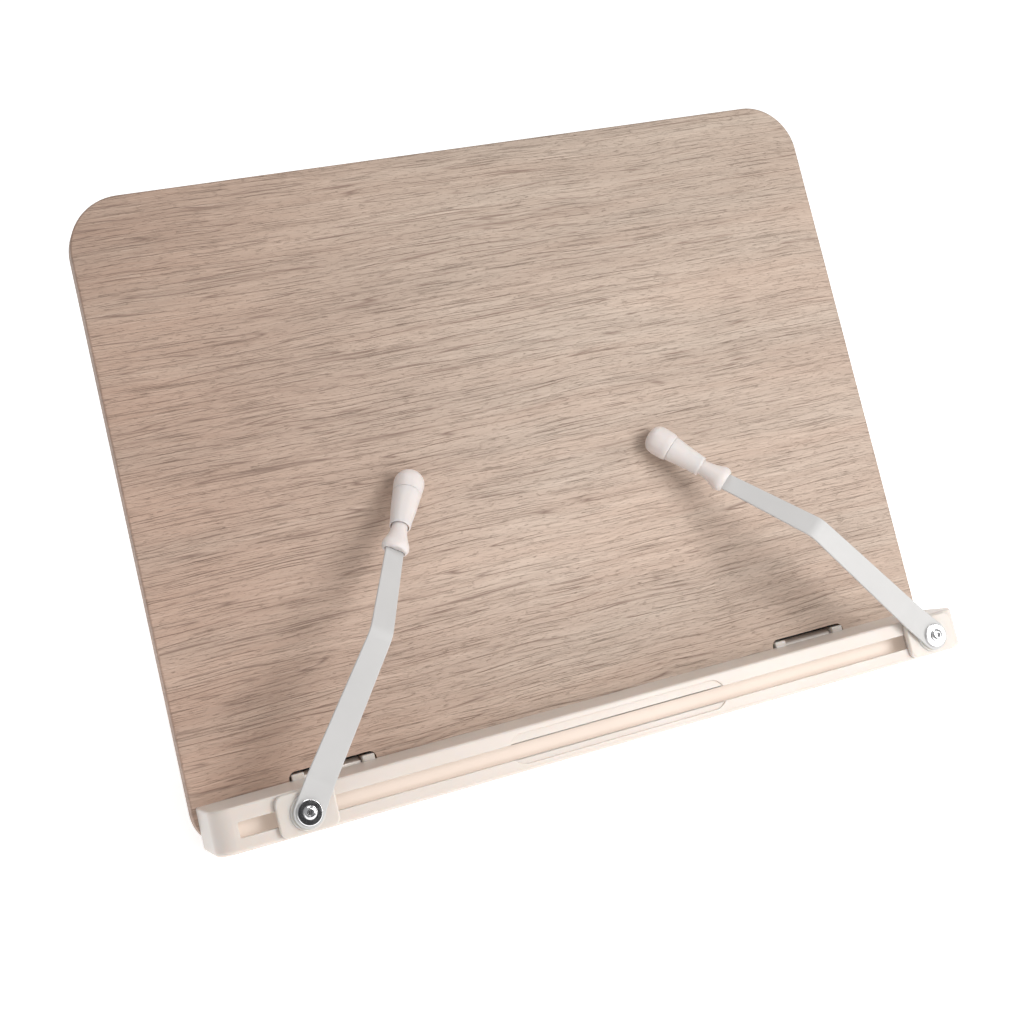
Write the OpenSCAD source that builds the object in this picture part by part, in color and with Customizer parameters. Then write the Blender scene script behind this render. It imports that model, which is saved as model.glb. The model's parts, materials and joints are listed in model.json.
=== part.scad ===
// Tilting book display stand: a laminated board on a folding base, with a slotted ledge that
// carries two sliding, swivelling page holders.
// Board frame used inside on_board(): x to the right, y up the board from the line where the
// ledge meets the face, z out of the face. Pieces on the table use the world frame directly.

/* [Board] */
// Width of the board
board_w = 350; // [320:1:380]
// Height of the board above the ledge
board_top = 252.5; // [249:0.5:290]
// Length of board hidden behind the ledge
board_low = 19; // [18.5:0.5:19.5]
// Thickness of the finished board
board_t = 9; // [8:0.5:9]
// Radius of the two upper corners
corner_top_r = 23.5; // [10:0.5:40]
// Radius of the two lower corners
corner_low_r = 16; // [6:0.5:18]
// Thickness of each laminate film
film_t = 0.3; // [0.2:0.05:0.4]
// Thickness of the edge band
band_t = 0.5; // [0.4:0.1:1]

/* [Ledge] */
// Width of the ledge
ledge_w = 346.2; // [344:0.2:348]
// Depth of the shelf in front of the board
ledge_d = 34.4; // [32:0.2:36]
// Height of the front of the ledge
ledge_h = 17.7; // [17:0.1:18]
// Wall thickness of the ledge
ledge_wall = 2.4; // [2:0.1:2.6]
// Radius of the two front corners, seen from above
ledge_corner_r = 8; // [4:0.5:10]
// Height of the front slot
slot_h = 6.1; // [5.8:0.1:6.4]
// Half length of the front slot
slot_half = 163.4; // [160:0.2:164]
// Distance from the shelf surface down to the middle of the slot
slot_drop = 9.1; // [8.8:0.1:9.4]

/* [Hinge] */
// Tilt of the board from the table
tilt = 54; // [20:1:70]
// Sideways distance of each hinge from the middle
hinge_x = 115; // [105:1:120]
// Width of each hinge opening in the board
notch_w = 37.8; // [36:0.2:40]
// Height of the hinge openings above the shelf
notch_top = 3.5; // [3:0.1:5]
// Width of each hinge lug
lug_w = 5.4; // [4:0.2:6]
// Radius of the hinge pins
pin_r = 2; // [1.5:0.1:2.5]
// Outer radius of the hinge barrels
barrel_r = 4; // [3.5:0.1:4]
// Height of the hinge axis above the table
hinge_z = 20; // [20:0.5:24]

/* [Base and prop] */
// Distance from the hinge axis back to the rear axle
base_reach = 115; // [112:0.5:118]
// Height of the rear axle above the table
axle_z = 7.5; // [7.5:0.1:8]
// Radius of the rear axle
axle_r = 3; // [2.5:0.1:3.2]
// Length of the prop between its two pivots
prop_len = 105.5; // [104:0.5:107]
// Depth of the sliding rod behind the hinge axis plane
rod_depth = 9.5; // [9.5:0.1:10]
// Radius of the sliding rod
rod_r = 2.5; // [2:0.1:2.5]
// Sideways distance of each guide track from the middle, at its lip
track_x = 47.2; // [46:0.2:60]

/* [Page holders] */
// Sideways position of the left slider
slider_x_left = -136.6; // [-145:0.1:-100]
// Sideways position of the right slider
slider_x_right = 154.6; // [100:0.1:160]
// Swing of the left arm from straight up the board, clockwise
swing_left = 33.9; // [0:0.1:90]
// Swing of the right arm from straight up the board, clockwise
swing_right = -39.5; // [-90:0.1:0]
// Length of the lower run of the left arm, from its screw to the bend
run_left = 73.6; // [68:0.1:78]
// Length of the lower run of the right arm, from its screw to the bend
run_right = 76.4; // [68:0.1:78]
// Outward lean of the lower run of the left arm
lean_left = 12.1; // [5:0.1:14]
// Outward lean of the lower run of the right arm
lean_right = 6.1; // [5:0.1:14]
// Slope of the upper run of the left arm, towards the board
drop_left = -36.5; // [-38:0.1:-25]
// Slope of the upper run of the right arm, towards the board
drop_right = -34.1; // [-36:0.1:-25]
// Slope of the left tip
tip_slope_left = -28.3; // [-30:0.1:-10]
// Slope of the right tip
tip_slope_right = -23.2; // [-26:0.1:-10]
// Distance from the end of the left strip to the middle of the tip's round end
tip_reach_left = 36.8; // [34:0.1:38]
// Distance from the end of the right strip to the middle of the tip's round end
tip_reach_right = 34.2; // [34:0.1:38]
// Length of the upper run of the spring arms
arm_upper = 45.1; // [42:0.1:48]
// Thickness of the arm strip
strip_t = 1.2; // [1:0.1:1.4]

/* [Hidden] */
fine = 64;
// Smallest gap left so that one piece runs on another
run_gap = 0.05;
// Clearance that keeps sliding faces apart
slide_gap = 0.3;

// Hinge axis in the board frame: the middle of the board's thickness, just under the shelf
hinge_u = -1.6;
hinge_n = -board_t / 2;
// Hinge axis in the world: the whole stand is centred on the origin from front to back
hinge_y = -55.1;
barrel_half = notch_w / 2 - 1 - lug_w - 0.3;
lug_x = notch_w / 2 - 1 - lug_w / 2;

// Both page holders, left one first
slider_x = [slider_x_left, slider_x_right];
arm_swing = [swing_left, swing_right];
arm_run = [run_left, run_right];
arm_lean = [lean_left, lean_right];
arm_drop = [drop_left, drop_right];
tip_drop = [tip_slope_left, tip_slope_right];
tip_reach = [tip_reach_left, tip_reach_right];

// Prop linkage: the base arm, the board and the prop make a triangle
base_len = sqrt(base_reach * base_reach + (hinge_z - axle_z) * (hinge_z - axle_z));
base_angle = tilt + atan((hinge_z - axle_z) / base_reach);
prop_angle = asin((base_len * sin(base_angle) - rod_depth) / prop_len);
rod_u = base_len * cos(base_angle) + prop_len * cos(prop_angle);
axle_y = hinge_y + base_reach;
back_n = -board_t;
rod_n = hinge_n - rod_depth;

// Ledge interior: a front channel for the slider nuts, and a hollow behind it
front_wall = 2.5;
channel_d = 5.6;
channel_back = ledge_d - front_wall - channel_d;
channel_low = 15.4;
channel_half = slot_half + 2;
web_t = 1.8;
cover_t = 1.8;
cover_gap = 0.2;

// Middle recess of the ledge front
recess_half = 44;
recess_r = 6.2;
recess_drop = 8.6;
recess_depth = 0.8;

// Wood screws that hold the ledge, seen from the back of the board
screw_places = [-158, -60, 60, 158];
screw_drop = 9.5;
wood_screw_r = 1.5;
wood_screw_len = 18;
wood_head_r = 3.2;
post_w = 10;

// Cover screws, from below
cover_places = [-135, 0, 135];
cover_n = 12;
cover_screw_r = 1.2;
cover_screw_len = 9;
cover_head_r = 2.4;
cover_head_t = 1.2;
boss_w = 8;

// Slider stack, from the ledge face outwards
block_w = 24;
block_n = ledge_d + slide_gap;
block_t = 2.4;
boss_top = block_n + block_t + 1;
strip_n = boss_top + slide_gap + strip_t / 2;
washer_n = strip_n + strip_t / 2 + 0.15;
washer_t = 1;
washer_r = 5.1;
head_r = 2.7;
head_t = 1.5;
screw_r = 2;
flat_run = 12.5;

// Tip profile
collar_len = 13;
neck_r = 3.4;
spindle_r = 2.4;
cap_r = 6.6;
cap_back = 5.4;

// ---------- helpers ----------
module on_board()
    translate([0, hinge_y, hinge_z])
        rotate([tilt, 0, 0])
            translate([0, -hinge_u, -hinge_n])
                children();

// Block given by its low and high corners
module block(low, high)
    translate(low) cube(high - low);

// Solid rod along x between two places
module rod_x(x0, x1, r)
    translate([x0, 0, 0]) rotate([0, 90, 0]) cylinder(h = x1 - x0, r = r, $fn = fine);

// Outline of the board, pulled in by inset
module board_outline(inset) {
    half = board_w / 2;
    for (s = [-1, 1]) {
        translate([s * (half - corner_top_r), board_top - corner_top_r])
            circle(r = corner_top_r - inset, $fn = fine);
        translate([s * (half - corner_low_r), corner_low_r - board_low])
            circle(r = corner_low_r - inset, $fn = fine);
    }
    translate([corner_top_r - half, -board_low / 2])
        square([board_w - 2 * corner_top_r, board_top + board_low / 2 - inset]);
    translate([corner_low_r - half, inset - board_low])
        square([board_w - 2 * corner_low_r, board_low]);
    translate([inset - half, corner_low_r - board_low])
        square([board_w - 2 * inset, board_top + board_low - corner_top_r - corner_low_r]);
}

// Opening in the board for one hinge, open at the lower edge, with round upper corners
module notch_outline(side) {
    r = 3;
    half = notch_w / 2;
    translate([side * hinge_x, 0]) {
        for (s = [-1, 1])
            translate([s * (half - r), notch_top - r]) circle(r = r, $fn = fine);
        translate([-half, -board_low - 1]) square([notch_w, board_low + 1 + notch_top - r]);
        translate([r - half, -board_low]) square([notch_w - 2 * r, board_low + notch_top]);
    }
}

module board_slice(n0, n1, inset)
    translate([0, 0, n0])
        linear_extrude(n1 - n0)
            difference() {
                board_outline(inset);
                notch_outline(-1);
                notch_outline(1);
            }

// Shelf outline seen from above, in x and n, with round front corners
module ledge_plan(inset) {
    half = ledge_w / 2;
    r = ledge_corner_r;
    for (s = [-1, 1])
        translate([s * (half - r), ledge_d - r]) circle(r = r - inset, $fn = fine);
    translate([inset - half, inset]) square([ledge_w - 2 * inset, ledge_d - r - inset]);
    translate([r - half, inset]) square([ledge_w - 2 * r, ledge_d - 2 * inset]);
}

// Extrusion of a plan outline downwards from height u
module down_from(u, h)
    translate([0, u, 0]) rotate([90, 0, 0]) linear_extrude(h) children();

// Countersunk screw, its head face at z = 0 and its shank towards -z
module countersunk(length, r, head)
    rotate([180, 0, 0])
        difference() {
            rotate_extrude($fn = fine)
                polygon([[0, 0], [head, 0], [head, 0.3], [r, 0.3 + head - r], [r, length], [0, length]]);
            translate([0, 0, -1]) cylinder(h = 2, r = head * 0.4, $fn = 6);
        }

// ---------- base ----------
rail_w = 10;
rail_low = 2.5;
rail_high = 11;
foot_len = 20;
foot_w = 9;
boss_r = 4.6;
// The saddle is welded round the lower half of the barrel
saddle_t = 0.8;
tie_y = hinge_y + 23;
tie_z = 6.75;
tie_r = 3.5;
tie_screw_r = 1.6;
tie_head_r = 3;

module base_rail(side)
    color("gainsboro")
        translate([side * hinge_x, 0, 0])
            difference() {
                rotate([0, -90, 0])
                    translate([0, 0, -rail_w / 2])
                        linear_extrude(rail_w)
                            rail_side_view();
                translate([0, hinge_y, hinge_z]) rod_x(-rail_w, rail_w, barrel_r);
                translate([0, axle_y, axle_z]) rod_x(-rail_w, rail_w, axle_r);
                translate([0, tie_y, tie_z]) rod_x(-rail_w, rail_w, tie_screw_r);
            }

// Side view of a rail: height along x, depth along y
module rail_side_view() {
    neck_top = hinge_z - 1;
    rail_top = rail_high - 2;
    saddle_r = barrel_r + saddle_t;
    intersection() {
        translate([hinge_z, hinge_y]) circle(r = saddle_r, $fn = fine);
        translate([0, hinge_y - 10]) square([neck_top, 20]);
    }
    polygon([[neck_top, hinge_y - 4.5], [neck_top, hinge_y + 2.3], [hinge_z - 6.4, hinge_y + 2.3],
        [rail_top, hinge_y + 9], [rail_top, axle_y], [rail_low, axle_y],
        [rail_low, hinge_y + 1], [rail_low + 3, hinge_y - 2]]);
    translate([axle_z, axle_y]) circle(r = boss_r + 0.4, $fn = fine);
}

module hinge_barrel(side)
    color("silver")
        translate([side * hinge_x, hinge_y, hinge_z])
            difference() {
                rod_x(-barrel_half, barrel_half, barrel_r);
                rod_x(-barrel_half - 1, barrel_half + 1, pin_r + run_gap);
            }

axle_half = hinge_x + rail_w / 2 + 3;

module rear_axle()
    color("silver")
        translate([0, axle_y, axle_z]) rod_x(-axle_half, axle_half, axle_r);

module front_tie()
    color("gainsboro")
        translate([0, tie_y, tie_z])
            difference() {
                rod_x(rail_w / 2 - hinge_x, hinge_x - rail_w / 2, tie_r);
                rod_x(-hinge_x, 12 - hinge_x, tie_screw_r);
                rod_x(hinge_x - 12, hinge_x, tie_screw_r);
            }

// Draws the right half and its mirror image
module both_sides() {
    children();
    mirror([1, 0, 0]) children();
}

module tie_screws()
    color("silver")
        both_sides()
            translate([hinge_x, tie_y, tie_z]) {
                rod_x(-6.5, rail_w / 2, tie_screw_r);
                rod_x(rail_w / 2, rail_w / 2 + 2, tie_head_r);
            }

module axle_end_caps()
    color("dimgray")
        both_sides()
            translate([0, axle_y, axle_z])
                difference() {
                    rod_x(axle_half - 2.7, axle_half + 1.6, boss_r);
                    rod_x(0, axle_half, axle_r);
                }

module foot_pads(y)
    color("dimgray")
        for (s = [-1, 1])
            block([s * hinge_x - foot_w / 2, y, 0], [s * hinge_x + foot_w / 2, y + foot_len, rail_low]);

module front_feet() foot_pads(hinge_y + 5);
module rear_feet() foot_pads(axle_y - foot_len - 5);

// ---------- board ----------
module board_core()
    color("tan") on_board() board_slice(film_t - board_t, -film_t, band_t);

module face_film()
    color("rosybrown") on_board() board_slice(-film_t, 0, 0);

module back_film()
    color("burlywood") on_board() board_slice(-board_t, film_t - board_t, 0);

module edge_band()
    color("tan")
        on_board()
            translate([0, 0, film_t - board_t])
                linear_extrude(board_t - 2 * film_t)
                    difference() {
                        board_outline(0);
                        board_outline(band_t);
                        notch_outline(-1);
                        notch_outline(1);
                    }

// ---------- ledge ----------
module hinge_lug(x)
    translate([x - lug_w / 2, 0, 0]) {
        translate([0, hinge_u, hinge_n]) rod_x(0, lug_w, barrel_r + 0.2);
        block([0, hinge_u, hinge_n], [lug_w, hinge_u + barrel_r, 1.3]);
        block([0, -12, hinge_n], [lug_w, hinge_u, 1]);
    }

module ledge_rail()
    color("seashell")
        on_board()
            difference() {
                union() {
                    difference() {
                        down_from(0, ledge_h) ledge_plan(0);
                        down_from(-ledge_wall, ledge_h)
                            intersection() {
                                ledge_plan(ledge_wall);
                                translate([-ledge_w, 0]) square([2 * ledge_w, channel_back - web_t]);
                            }
                        // track for the slider nuts
                        block([-channel_half, -channel_low, channel_back],
                            [channel_half, -ledge_wall, channel_back + channel_d]);
                        // front slot
                        block([-slot_half, -slot_drop - slot_h / 2, channel_back],
                            [slot_half, -slot_drop + slot_h / 2, ledge_d + 1]);
                        // shallow finger recess in the middle of the front
                        recess();
                        on_hinges(barrel_half + 0.2, barrel_r + saddle_t + 2 * slide_gap);
                    }
                    for (s = [-1, 1], t = [-1, 1]) hinge_lug(s * hinge_x + t * lug_x);
                    for (x = screw_places) screw_post(x);
                }
                on_hinges(notch_w / 2, pin_r);
                for (x = screw_places)
                    translate([x, -screw_drop, -1]) cylinder(h = 13, r = wood_screw_r, $fn = fine);
                cover_bores(12, cover_screw_r);
            }

module screw_post(x)
    block([x - post_w / 2, -ledge_h + cover_t + cover_gap, 1], [x + post_w / 2, -1, 14]);

module recess()
    translate([0, -recess_drop, ledge_d - recess_depth]) {
        block([-recess_half, -recess_r, 0], [recess_half, recess_r, 2]);
        for (s = [-1, 1])
            translate([s * recess_half, 0, 0]) cylinder(h = 2, r = recess_r, $fn = fine);
    }

// Rod along the hinge axis of both hinges, half long on each side of a hinge's middle
module on_hinges(half, r)
    for (s = [-1, 1])
        translate([s * hinge_x, hinge_u, hinge_n]) rod_x(-half, half, r);

// Rod up through each cover screw place
module cover_bores(len, r)
    for (x = cover_places)
        translate([x, -ledge_h - 1, cover_n]) rotate([-90, 0, 0]) cylinder(h = len, r = r, $fn = fine);

module ledge_cover()
    color("seashell")
        on_board()
            difference() {
                union() {
                    down_from(cover_t - ledge_h, cover_t)
                        intersection() {
                            ledge_plan(ledge_wall + cover_gap);
                            translate([-ledge_w, 0])
                                square([2 * ledge_w, channel_back - web_t - cover_gap]);
                        }
                    for (x = cover_places)
                        block([x - boss_w / 2, cover_t - ledge_h, cover_n - boss_w / 2],
                            [x + boss_w / 2, -6, cover_n + boss_w / 2]);
                }
                cover_bores(12, cover_screw_r);
                // room for the rails when the board stands steepest
                on_hinges(barrel_half, barrel_r + 12);
            }

module cover_screws()
    color("silver")
        on_board()
            for (x = cover_places)
                translate([x, -ledge_h - cover_head_t, cover_n])
                    rotate([-90, 0, 0]) {
                        cylinder(h = cover_head_t, r = cover_head_r, $fn = fine);
                        cylinder(h = cover_screw_len, r = cover_screw_r, $fn = fine);
                    }

module ledge_screws()
    color("silver")
        on_board()
            for (x = screw_places)
                translate([x, -screw_drop, back_n - 0.01])
                    rotate([180, 0, 0]) countersunk(wood_screw_len, wood_screw_r, wood_head_r);

module hinge_pin(side)
    color("silver")
        on_board()
            translate([side * hinge_x, hinge_u, hinge_n])
                rod_x(-lug_x - lug_w / 2, lug_x + lug_w / 2, pin_r);

// ---------- shields behind the hinge openings ----------
shield_t = 1.2;
shield_margin = 4;
shield_low = -17;
shield_high = 9;
// The shield leaves this much room above the hinge axis, and beside the rail
shield_reach = 2.7;
rail_room = 1;

module hinge_shield(side)
    color("dimgray")
        on_board()
            translate([side * hinge_x, 0, back_n - shield_t])
                linear_extrude(shield_t)
                    difference() {
                        half = notch_w / 2 + shield_margin;
                        gap = rail_w / 2 + rail_room;
                        translate([-half, shield_low]) square([2 * half, shield_high - shield_low]);
                        translate([-gap, shield_low - 1])
                            square([2 * gap, hinge_u + shield_reach - shield_low + 1]);
                    }

// ---------- tracks on the back ----------
track_low = 34;
track_high = 236;
lip_t = 1.6;
cavity_w = 5.3;
track_w = 7.8;
track_screw_x = track_x + 2.6;
track_screw_r = 1.3;
track_screw_places = [44, 135, 226];
shoe_t = 2 * rod_r;
// The rod rides between these depths, measured out from the back face
cavity_near = -rod_n - board_t - rod_r - 0.4;
cavity_far = -rod_n - board_t + rod_r + 0.62;

module track(side)
    color("lightgray")
        on_board()
            mirror([side < 0 ? 1 : 0, 0, 0])
                difference() {
                    block([track_x, track_low, back_n - cavity_far - lip_t],
                        [track_x + track_w, track_high, back_n]);
                    block([track_x - 1, track_low - 1, back_n - cavity_far],
                        [track_x + cavity_w, track_high + 1, back_n - cavity_near]);
                    for (u = track_screw_places)
                        translate([track_screw_x, u, back_n - cavity_far - lip_t - 1])
                            cylinder(h = 14, r = track_screw_r, $fn = fine);
                }

module track_stop(u)
    color("seashell")
        on_board()
            block([-track_x - track_w, u, back_n - cavity_far - lip_t],
                [track_x + track_w, u + 5, back_n]);

module track_stop_low() track_stop(track_low - 5);
module track_stop_high() track_stop(track_high);

module track_screws()
    color("silver")
        on_board()
            for (s = [-1, 1], u = track_screw_places)
                translate([s * track_screw_x, u, back_n - cavity_near]) {
                    cylinder(h = cavity_near + 5, r = track_screw_r, $fn = fine);
                    translate([0, 0, -0.3]) cylinder(h = 0.3, r = track_screw_r + 1, $fn = fine);
                }

// ---------- prop ----------
prop_half = 44;
prop_t = 4;
knuckle_w = 14;
knuckle_x = prop_half - knuckle_w / 2;
bush_r = axle_r + 0.8;

// Frame with its origin on the rear axle and y along the prop, towards the sliding rod
module on_prop()
    translate([0, axle_y, axle_z]) rotate([tilt + prop_angle, 0, 0]) children();

module prop_panel()
    color("seashell")
        on_prop()
            difference() {
                union() {
                    block([-prop_half, 7, -prop_t / 2], [prop_half, prop_len - 7, prop_t / 2]);
                    for (s = [-1, 1]) {
                        translate([s * knuckle_x, 0, 0]) {
                            rod_x(-knuckle_w / 2, knuckle_w / 2, boss_r);
                            block([-knuckle_w / 2, 0, -prop_t / 2], [knuckle_w / 2, 8, prop_t / 2]);
                        }
                        translate([s * knuckle_x, prop_len, 0]) {
                            rod_x(-knuckle_w / 2, knuckle_w / 2, boss_r - 0.3);
                            block([-knuckle_w / 2, -8, -prop_t / 2], [knuckle_w / 2, 0, prop_t / 2]);
                        }
                    }
                }
                rod_x(-prop_half - 1, prop_half + 1, bush_r);
                translate([0, prop_len, 0]) rod_x(-prop_half - 1, prop_half + 1, rod_r + run_gap);
                // pressed field that lightens the panel
                block([10 - prop_half, 17, prop_t / 2 - 1.2], [prop_half - 10, prop_len - 17, prop_t]);
            }

module prop_bushes()
    color("white")
        on_prop()
            for (s = [-1, 1])
                translate([s * knuckle_x, 0, 0])
                    difference() {
                        rod_x(-knuckle_w / 2, knuckle_w / 2, bush_r);
                        rod_x(-knuckle_w, knuckle_w, axle_r + run_gap);
                    }

// ---------- sliding rod and shoes ----------
shoe_half = 11;
shoe_near = track_x - 1.6;
shoe_far = track_x + cavity_w - 0.4;
rod_half = track_x + 4.6;
pad_depth = 0.8;

module at_rod()
    on_board() translate([0, rod_u + hinge_u, rod_n]) children();

module slide_rod()
    color("silver") at_rod() rod_x(-rod_half, rod_half, rod_r - 0.2);

// The two friction pads of one shoe, standing proud by the given height
module pads(proud)
    for (u = [-7, 7])
        block([shoe_far - pad_depth, u - 3, -1.5], [shoe_far + proud, u + 3, 1.5]);

module shoe(side)
    color("dimgray")
        at_rod()
            mirror([side < 0 ? 1 : 0, 0, 0])
                difference() {
                    block([shoe_near, -shoe_half, -shoe_t / 2], [shoe_far, shoe_half, shoe_t / 2]);
                    rod_x(0, rod_half, rod_r - 0.2);
                    pads(1);
                }

module friction_pads()
    color("brown") at_rod() both_sides() pads(slide_gap);

// ---------- page holder sliders ----------
module at_slider(i)
    on_board() translate([slider_x[i], -slot_drop, 0]) children();

face_half_h = 8.3;
face_corner_r = 3.5;
slider_boss_r = 7;
key_half = 6;
key_depth = 3.2;
washer_seat = 0.6;

module slider_block(i)
    color("seashell")
        at_slider(i)
            difference() {
                union() {
                    translate([0, 0.3, block_n])
                        linear_extrude(block_t)
                            slider_face();
                    translate([0, 0, block_n + block_t - 0.5])
                        cylinder(h = boss_top - block_n - block_t + 0.5, r = slider_boss_r, $fn = fine);
                    block([-key_half, slide_gap - slot_h / 2, block_n - key_depth],
                        [key_half, slot_h / 2 - slide_gap, block_n]);
                }
                translate([0, 0, block_n - 9]) cylinder(h = 20, r = screw_r, $fn = fine);
                translate([0, 0, boss_top - washer_seat]) cylinder(h = 2, r = wave_r + 0.3, $fn = fine);
            }

// Face of the slider, as tall as the ledge, with round corners
module slider_face() {
    r = face_corner_r;
    half_w = block_w / 2;
    for (x = [-1, 1], y = [-1, 1])
        translate([x * (half_w - r), y * (face_half_h - r)]) circle(r = r, $fn = fine);
    translate([-half_w, r - face_half_h]) square([block_w, 2 * (face_half_h - r)]);
    translate([r - half_w, -face_half_h]) square([2 * (half_w - r), 2 * face_half_h]);
}

// Nut that runs in the channel behind the front wall
nut_half_w = 8;
nut_half_h = 5.2;
nut_t = 4.2;
nut_n = channel_back + 0.6;
wave_r = 4.1;
wave_t = 0.7;

module slider_nut(i)
    color("silver")
        at_slider(i)
            difference() {
                block([-nut_half_w, -nut_half_h, nut_n], [nut_half_w, nut_half_h, nut_n + nut_t]);
                translate([0, 0, channel_back]) cylinder(h = 8, r = screw_r, $fn = fine);
            }

module wave_washer(i)
    color("silver")
        at_slider(i)
            translate([0, 0, boss_top - washer_seat])
                difference() {
                    cylinder(h = wave_t, r = wave_r, $fn = fine);
                    translate([0, 0, -1]) cylinder(h = 3, r = screw_r + 0.2, $fn = fine);
                }

module flat_washer(i)
    color("lightgray")
        at_slider(i)
            translate([0, 0, washer_n])
                rotate_extrude($fn = fine)
                    polygon([[screw_r, 0], [washer_r, 0], [washer_r, washer_t - 0.3],
                        [washer_r - 0.3, washer_t], [screw_r, washer_t]]);

module pivot_screw(i)
    color("silver")
        at_slider(i)
            difference() {
                union() {
                    translate([0, 0, nut_n])
                        cylinder(h = washer_n + washer_t + 0.5 - nut_n, r = screw_r, $fn = fine);
                    translate([0, 0, washer_n + washer_t])
                        rotate_extrude($fn = fine)
                            polygon([[0, 0], [head_r, 0], [head_r, 0.6],
                                [head_r - 0.9, head_t], [0, head_t]]);
                }
                translate([0, 0, washer_n + washer_t + 0.4]) cylinder(h = 3, r = 1.4, $fn = 6);
            }

// ---------- arms ----------
end_r = 6.2;
crease_w = 11.8;
bend_w = 9.6;
collar_w = 8;

module on_arm(i)
    at_slider(i) rotate([0, 0, -arm_swing[i]]) children();

// Frame at the start of the upper run, and at the start of the tip
module at_lean(i)
    on_arm(i) translate([0, flat_run, strip_n]) rotate([arm_lean[i], 0, 0]) children();

module at_bend(i)
    at_lean(i) translate([0, arm_run[i] - flat_run, 0])
        rotate([arm_drop[i] - arm_lean[i], 0, 0]) children();

module at_tip(i)
    at_bend(i) translate([0, arm_upper, 0])
        rotate([tip_drop[i] - arm_drop[i], 0, 0]) children();

// Flat strip of changing width along y
module taper(w0, w1, len)
    translate([0, 0, -strip_t / 2])
        linear_extrude(strip_t)
            polygon([[-w0 / 2, 0], [w0 / 2, 0], [w1 / 2, len], [-w1 / 2, len]]);

// Round corner where the strip is bent
module fold(w)
    rod_x(-w / 2, w / 2, strip_t / 2);

module arm_strip(i)
    color("whitesmoke") {
        difference() {
            on_arm(i)
                translate([0, 0, strip_n]) {
                    translate([0, 0, -strip_t / 2]) cylinder(h = strip_t, r = end_r, $fn = fine);
                    taper(2 * end_r, crease_w, flat_run);
                    translate([0, flat_run, 0]) fold(crease_w);
                }
            on_arm(i) cylinder(h = 60, r = screw_r + run_gap, $fn = fine);
        }
        at_lean(i) {
            taper(crease_w, bend_w, arm_run[i] - flat_run);
            translate([0, arm_run[i] - flat_run, 0]) fold(bend_w);
        }
        at_bend(i) {
            taper(bend_w, collar_w, arm_upper);
            translate([0, arm_upper, 0]) fold(collar_w);
        }
    }

// Turned solid along the tip, drawn from its half outline
module turned()
    rotate([-90, 0, 0]) rotate_extrude($fn = fine) children();

module arm_collar(i)
    color("seashell")
        at_tip(i)
            turned()
                polygon([[0, 0.8], [3.6, 0.8], [4.6, 1], [5.3, 2], [5.4, 3.4], [4.8, 5.4], [4, 8],
                    [3.5, 10.5], [neck_r, collar_len], [neck_r, collar_len + 2],
                    [spindle_r, collar_len + 2], [spindle_r, tip_reach[i] - cap_back - 4],
                    [0, tip_reach[i] - cap_back - 4]]);

module tip_sleeve(i)
    color("seashell")
        at_tip(i)
            turned()
                polygon([[spindle_r + run_gap, collar_len + 3], [3.8, collar_len + 3],
                    [3.9, collar_len], [4.4, collar_len], [4.9, collar_len + 6],
                    [5.5, tip_reach[i] - cap_back - 4], [5.9, tip_reach[i] - cap_back],
                    [0, tip_reach[i] - cap_back], [0, tip_reach[i] - cap_back - 3],
                    [spindle_r + run_gap, tip_reach[i] - cap_back - 3]]);

module tip_cap(i)
    color("seashell")
        at_tip(i)
            turned()
                translate([0, tip_reach[i]])
                    intersection() {
                        union() {
                            circle(r = cap_r, $fn = fine);
                            polygon([[0, -cap_back], [5.9, -cap_back], [cap_r - 0.1, -1.5],
                                [cap_r, 0], [0, 0]]);
                        }
                        translate([0, -cap_back]) square([cap_r + 1, cap_back + cap_r + 1]);
                    }

base_rail(-1);  // base_rail_left
base_rail(1);  // base_rail_right
hinge_barrel(-1);  // hinge_barrel_left
hinge_barrel(1);  // hinge_barrel_right
rear_axle();
front_tie();
tie_screws();
axle_end_caps();
front_feet();
rear_feet();
board_core();
face_film();
back_film();
edge_band();
ledge_rail();
ledge_cover();
cover_screws();
ledge_screws();
hinge_pin(-1);  // hinge_pin_left
hinge_pin(1);  // hinge_pin_right
track(-1);  // track_left
track(1);  // track_right
hinge_shield(-1);  // hinge_shield_left
hinge_shield(1);  // hinge_shield_right
track_stop_low();
track_stop_high();
track_screws();
prop_panel();
prop_bushes();
slide_rod();
shoe(-1);  // shoe_left
shoe(1);  // shoe_right
friction_pads();
slider_block(0);  // slider_block_left
slider_block(1);  // slider_block_right
slider_nut(0);  // slider_nut_left
slider_nut(1);  // slider_nut_right
wave_washer(0);  // wave_washer_left
wave_washer(1);  // wave_washer_right
flat_washer(0);  // flat_washer_left
flat_washer(1);  // flat_washer_right
pivot_screw(0);  // pivot_screw_left
pivot_screw(1);  // pivot_screw_right
arm_strip(0);  // arm_strip_left
arm_strip(1);  // arm_strip_right
arm_collar(0);  // arm_collar_left
arm_collar(1);  // arm_collar_right
tip_sleeve(0);  // tip_sleeve_left
tip_sleeve(1);  // tip_sleeve_right
tip_cap(0);  // tip_cap_left
tip_cap(1);  // tip_cap_right
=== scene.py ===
"""Tilting book display stand: materials, finished meshes, light and camera round the CAD frame."""
import json
import math

import bmesh
import bpy
from mathutils import Matrix, Vector


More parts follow.
